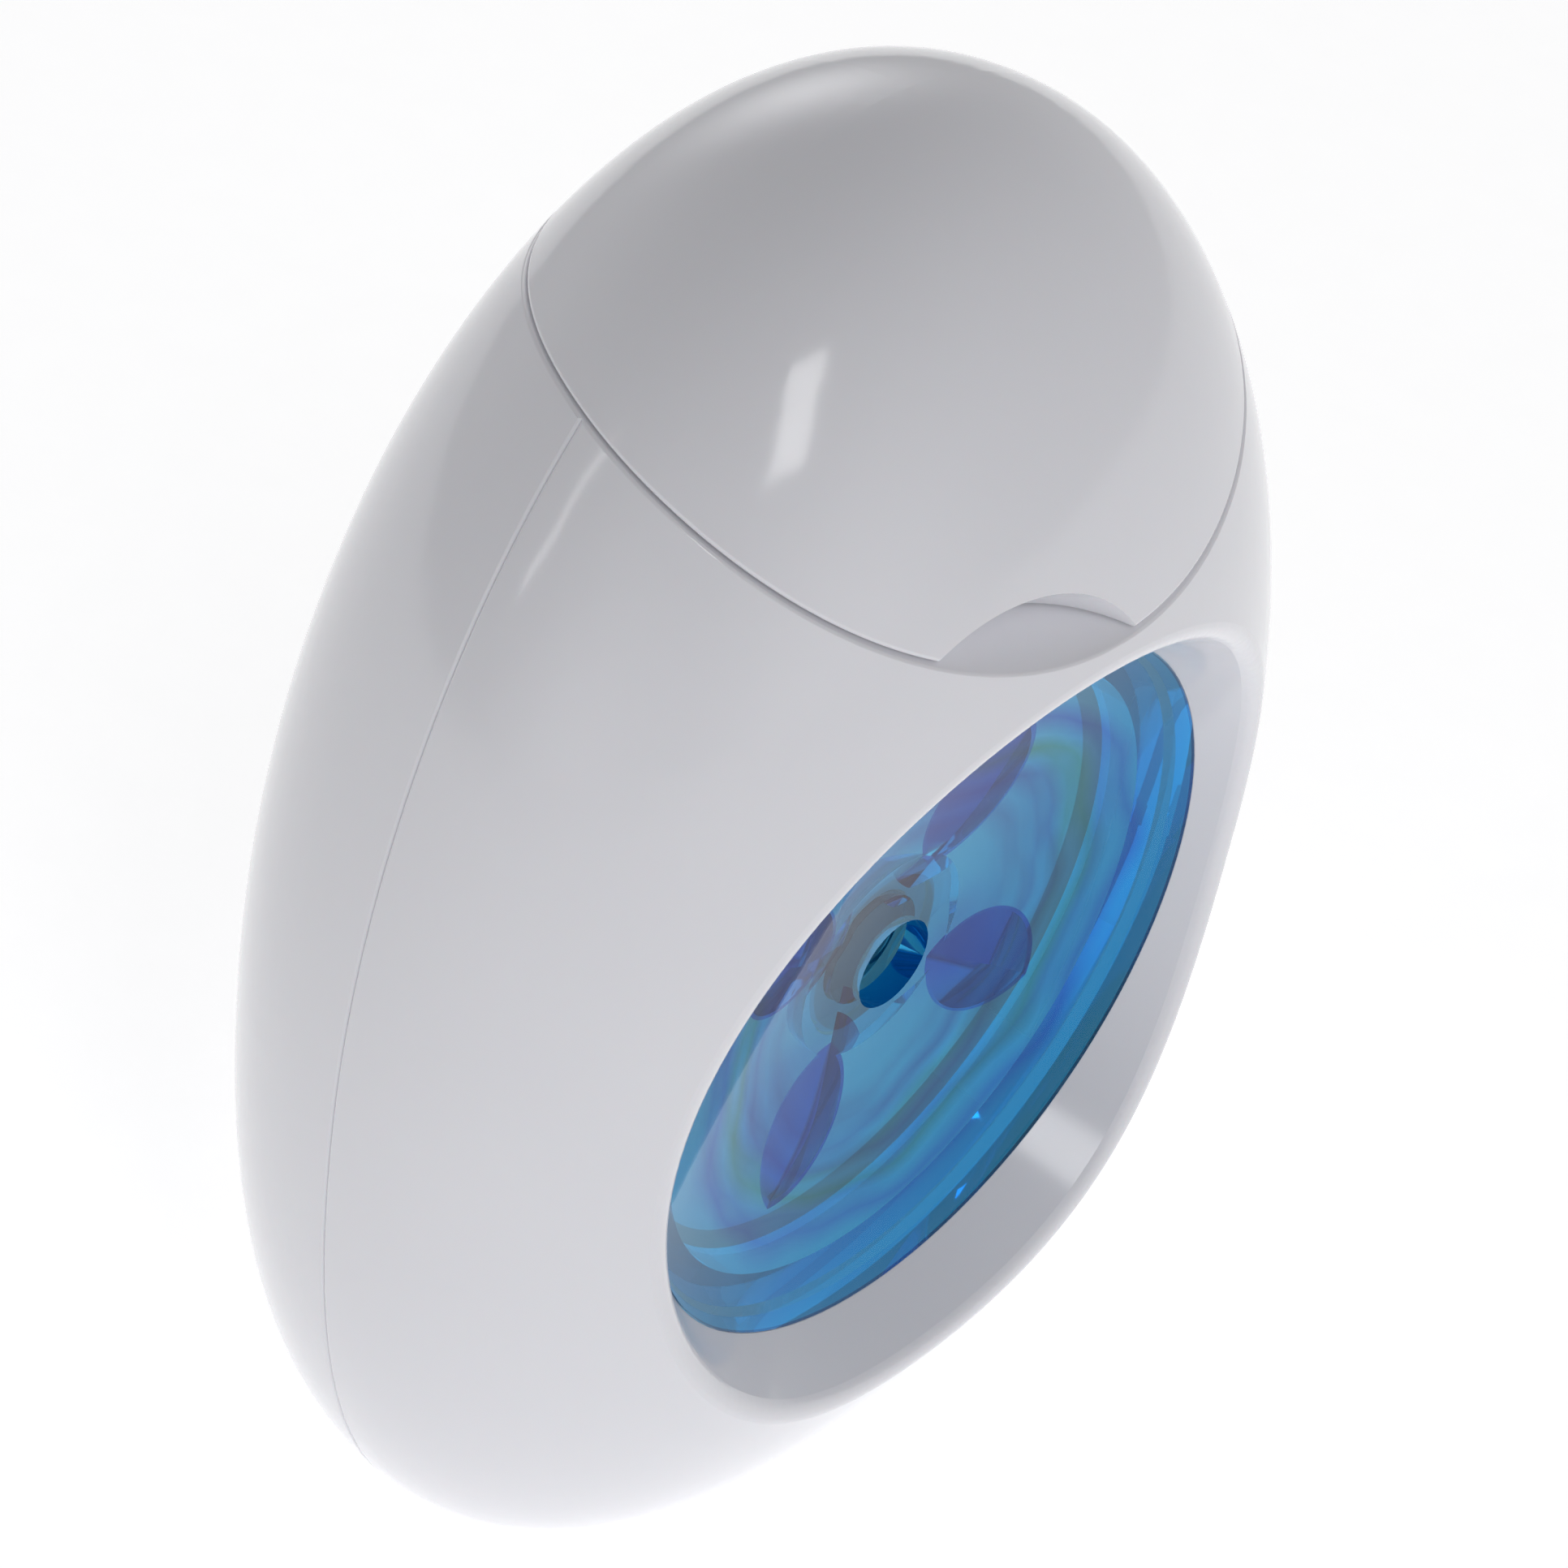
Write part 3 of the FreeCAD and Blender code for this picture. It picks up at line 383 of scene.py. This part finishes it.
# %% Floss material
# A filament is about 0.02 mm thick, and is drawn three times as coarse so that it shows
FILAMENT = 0.06 * MM
FILAMENT_DRIFT = 0.4 * MM
floss, tree, out = new_material("waxed_nylon_floss")
place = add(tree, "ShaderNodeTexCoord").outputs["Object"]
from_axis = add(tree, "ShaderNodeVectorMath", {0: place, 1: (0, 0, AXIS_Z)}, operation="SUBTRACT")
split = add(tree, "ShaderNodeSeparateXYZ", {"Vector": from_axis.outputs[0]})
flat = add(tree, "ShaderNodeVectorMath", {0: from_axis.outputs[0], 1: (1, 0, 1)}, operation="MULTIPLY")
radius = add(tree, "ShaderNodeVectorMath", {0: flat.outputs[0]}, operation="LENGTH")
around = add(tree, "ShaderNodeMath", {0: split.outputs["Z"], 1: split.outputs["X"]}, operation="ARCTAN2")
slow = add(tree, "ShaderNodeMath", {0: around.outputs[0], 1: FILAMENT_DRIFT}, operation="MULTIPLY")
thread = add(tree, "ShaderNodeCombineXYZ", {"X": radius.outputs["Value"], "Y": split.outputs["Y"],
                                            "Z": slow.outputs[0]})
fibre = add(tree, "ShaderNodeTexNoise", {"Vector": thread.outputs[0], "Scale": 1 / FILAMENT, "Detail": 3.0})
colour = add(tree, "ShaderNodeMix", {"Factor": fibre.outputs["Fac"], "A": linear("#f6f5ef"),
                                     "B": linear("#dcdad0")}, data_type="RGBA")
rough = add(tree, "ShaderNodeMapRange", {"Value": fibre.outputs["Fac"], "To Min": 0.38, "To Max": 0.6})
bump = add(tree, "ShaderNodeBump", {"Height": fibre.outputs["Fac"], "Strength": 0.4, "Distance": 0.02 * MM})
shader = add(tree, "ShaderNodeBsdfPrincipled", {
    "Base Color": colour.outputs["Result"], "Roughness": rough.outputs["Result"], "IOR": 1.53,
    "Normal": bump.outputs["Normal"], "Sheen Weight": 0.25, "Sheen Roughness": 0.4})
tree.links.new(shader.outputs[0], out.inputs["Surface"])
for piece in wound:
    dress(piece, floss)
print("floss:", floss.name)

# %% [markdown]
# ## The camera
# The photograph looks down on the window side from the left, close to the object and rolled a little, so the
# egg leans to the right in the picture. The angles come from fitting the egg's outline.

# %% Camera
PHOTO = 1932
AZIMUTH, ELEVATION, ROLL = (math.radians(a) for a in (-53.912, 37.48, 10.426))
DISTANCE = 150 * MM
FOCAL_PIXELS = 5094.343
MIDDLE_PIXEL = (951.865, 1013.446)
LOOK_AT = Vector((0, 0, 29 * MM))
ground = Vector((math.sin(AZIMUTH), -math.cos(AZIMUTH), 0))
back = ground * math.cos(ELEVATION) + Vector((0, 0, math.sin(ELEVATION)))
right = Vector((math.cos(AZIMUTH), math.sin(AZIMUTH), 0))
up = back.cross(right)
across = right * math.cos(ROLL) + up * math.sin(ROLL)
upward = up * math.cos(ROLL) - right * math.sin(ROLL)
camera_data = bpy.data.cameras.new("camera")
camera = bpy.data.objects.new("camera", camera_data)
bpy.context.scene.collection.objects.link(camera)
camera_data.sensor_width = 36
camera_data.lens = FOCAL_PIXELS / PHOTO * camera_data.sensor_width
camera_data.shift_x = (PHOTO / 2 - MIDDLE_PIXEL[0]) / PHOTO
camera_data.shift_y = (MIDDLE_PIXEL[1] - PHOTO / 2) / PHOTO
camera_data.clip_start = 5 * MM
turn = Matrix((across, upward, back)).transposed().to_4x4()
camera.matrix_world = Matrix.Translation(LOOK_AT + back * DISTANCE) @ turn
bpy.context.scene.camera = camera
print("lens", round(camera_data.lens, 2), "mm")

# %% [markdown]
# ## Light and floor
# The picture is lit from low down: the top of the egg is darker than its sides, and the white table glows
# back from below. A dim world with a few broad soft lobes does most of that, like white cards stood round a
# table. One small softbox makes the tall bright mark on the cap, a narrow strip draws the streak beside the
# parting line, and a white sheet below is the floor.

# %% World light
world = bpy.data.worlds.new("studio")
world.use_nodes = True
bpy.context.scene.world = world
tree = world.node_tree
facing = add(tree, "ShaderNodeTexCoord").outputs["Generated"]
# Each card: the way it lies, how narrow it is, and how bright
CARDS = (((-0.2, -1.0, 0.0), 8, 1.1), ((-1.0, -0.3, 0.0), 8, 1.15), ((1.0, 0.0, 0.1), 2, 0.6),
         ((0.2, -0.8, 0.6), 5, 0.3), ((0.0, 0.0, 1.0), 3, 0.12), ((0.0, 0.9, 0.3), 6, 0.6),
         ((0.6, 0.8, 0.45), 30, 2.2))
level = None
for way, narrowness, brightness in CARDS:
    lean = add(tree, "ShaderNodeVectorMath", {0: facing, 1: Vector(way).normalized()},
               operation="DOT_PRODUCT")
    ahead = add(tree, "ShaderNodeMath", {0: lean.outputs["Value"], 1: 0.0}, operation="MAXIMUM")
    fall = add(tree, "ShaderNodeMath", {0: ahead.outputs[0], 1: narrowness}, operation="POWER")
    sum_so_far = 0.0 if level is None else level.outputs[0]
    level = add(tree, "ShaderNodeMath", {0: fall.outputs[0], 1: brightness, 2: sum_so_far},
                operation="MULTIPLY_ADD")
sky = tree.nodes["Background"]
sky.inputs["Color"].default_value = (0.985, 0.985, 1.0, 1.0)
tree.links.new(level.outputs[0], sky.inputs["Strength"])
print("world cards:", len(CARDS))


# %% Softboxes
LIGHT_DISTANCE = 0.5


def softbox(name, target, direction, width, height, power):
    """A rectangular light that faces a target, which is in millimetres, from a direction."""
    light = bpy.data.lights.new(name, "AREA")
    light.shape = "RECTANGLE"
    light.size, light.size_y, light.energy = width, height, power
    obj = bpy.data.objects.new(name, light)
    bpy.context.scene.collection.objects.link(obj)
    way = Vector(direction).normalized()
    obj.location = Vector(target) * MM + way * LIGHT_DISTANCE
    obj.rotation_mode = "QUATERNION"
    obj.rotation_quaternion = way.to_track_quat("Z", "Y")
    print(name, power, "W")


softbox("highlight_softbox", (-9.7, -5.2, 53.3), (-0.37, -0.6, 0.71), 0.085, 0.19, 0.25)
softbox("shoulder_strip", (-15, -1.2, 49), (-0.845, 0.32, 0.427), 0.015, 0.2, 0.05)

# %% Floor
REACH = 2
corners = [(-REACH, -REACH, 0), (REACH, -REACH, 0), (REACH, REACH, 0), (-REACH, REACH, 0)]
floor_mesh = bpy.data.meshes.new("floor")
floor_mesh.from_pydata(corners, [], [(0, 1, 2, 3)])
floor = bpy.data.objects.new("floor", floor_mesh)
bpy.context.scene.collection.objects.link(floor)
paper, tree, out = new_material("white_paper")
place = add(tree, "ShaderNodeTexCoord").outputs["Object"]
PULP_WIDTH = 3 * MM
pulp = add(tree, "ShaderNodeTexNoise", {"Vector": place, "Scale": 1 / PULP_WIDTH, "Detail": 4.0})
colour = add(tree, "ShaderNodeMix", {"Factor": pulp.outputs["Fac"], "A": linear("#f8f8f8"),
                                     "B": linear("#f2f2f2")}, data_type="RGBA")
shader = add(tree, "ShaderNodeBsdfPrincipled", {
    "Base Color": colour.outputs["Result"], "Roughness": 0.9, "Emission Color": linear("#ffffff"),
    "Emission Strength": 0.6})
tree.links.new(shader.outputs[0], out.inputs["Surface"])
dress(floor, paper)
print("floor:", paper.name)

# %% [markdown]
# ## View transform
# The plain view transform keeps white plastic as white as the light makes it.

# %% View transform
bpy.context.scene.view_settings.view_transform = "Standard"
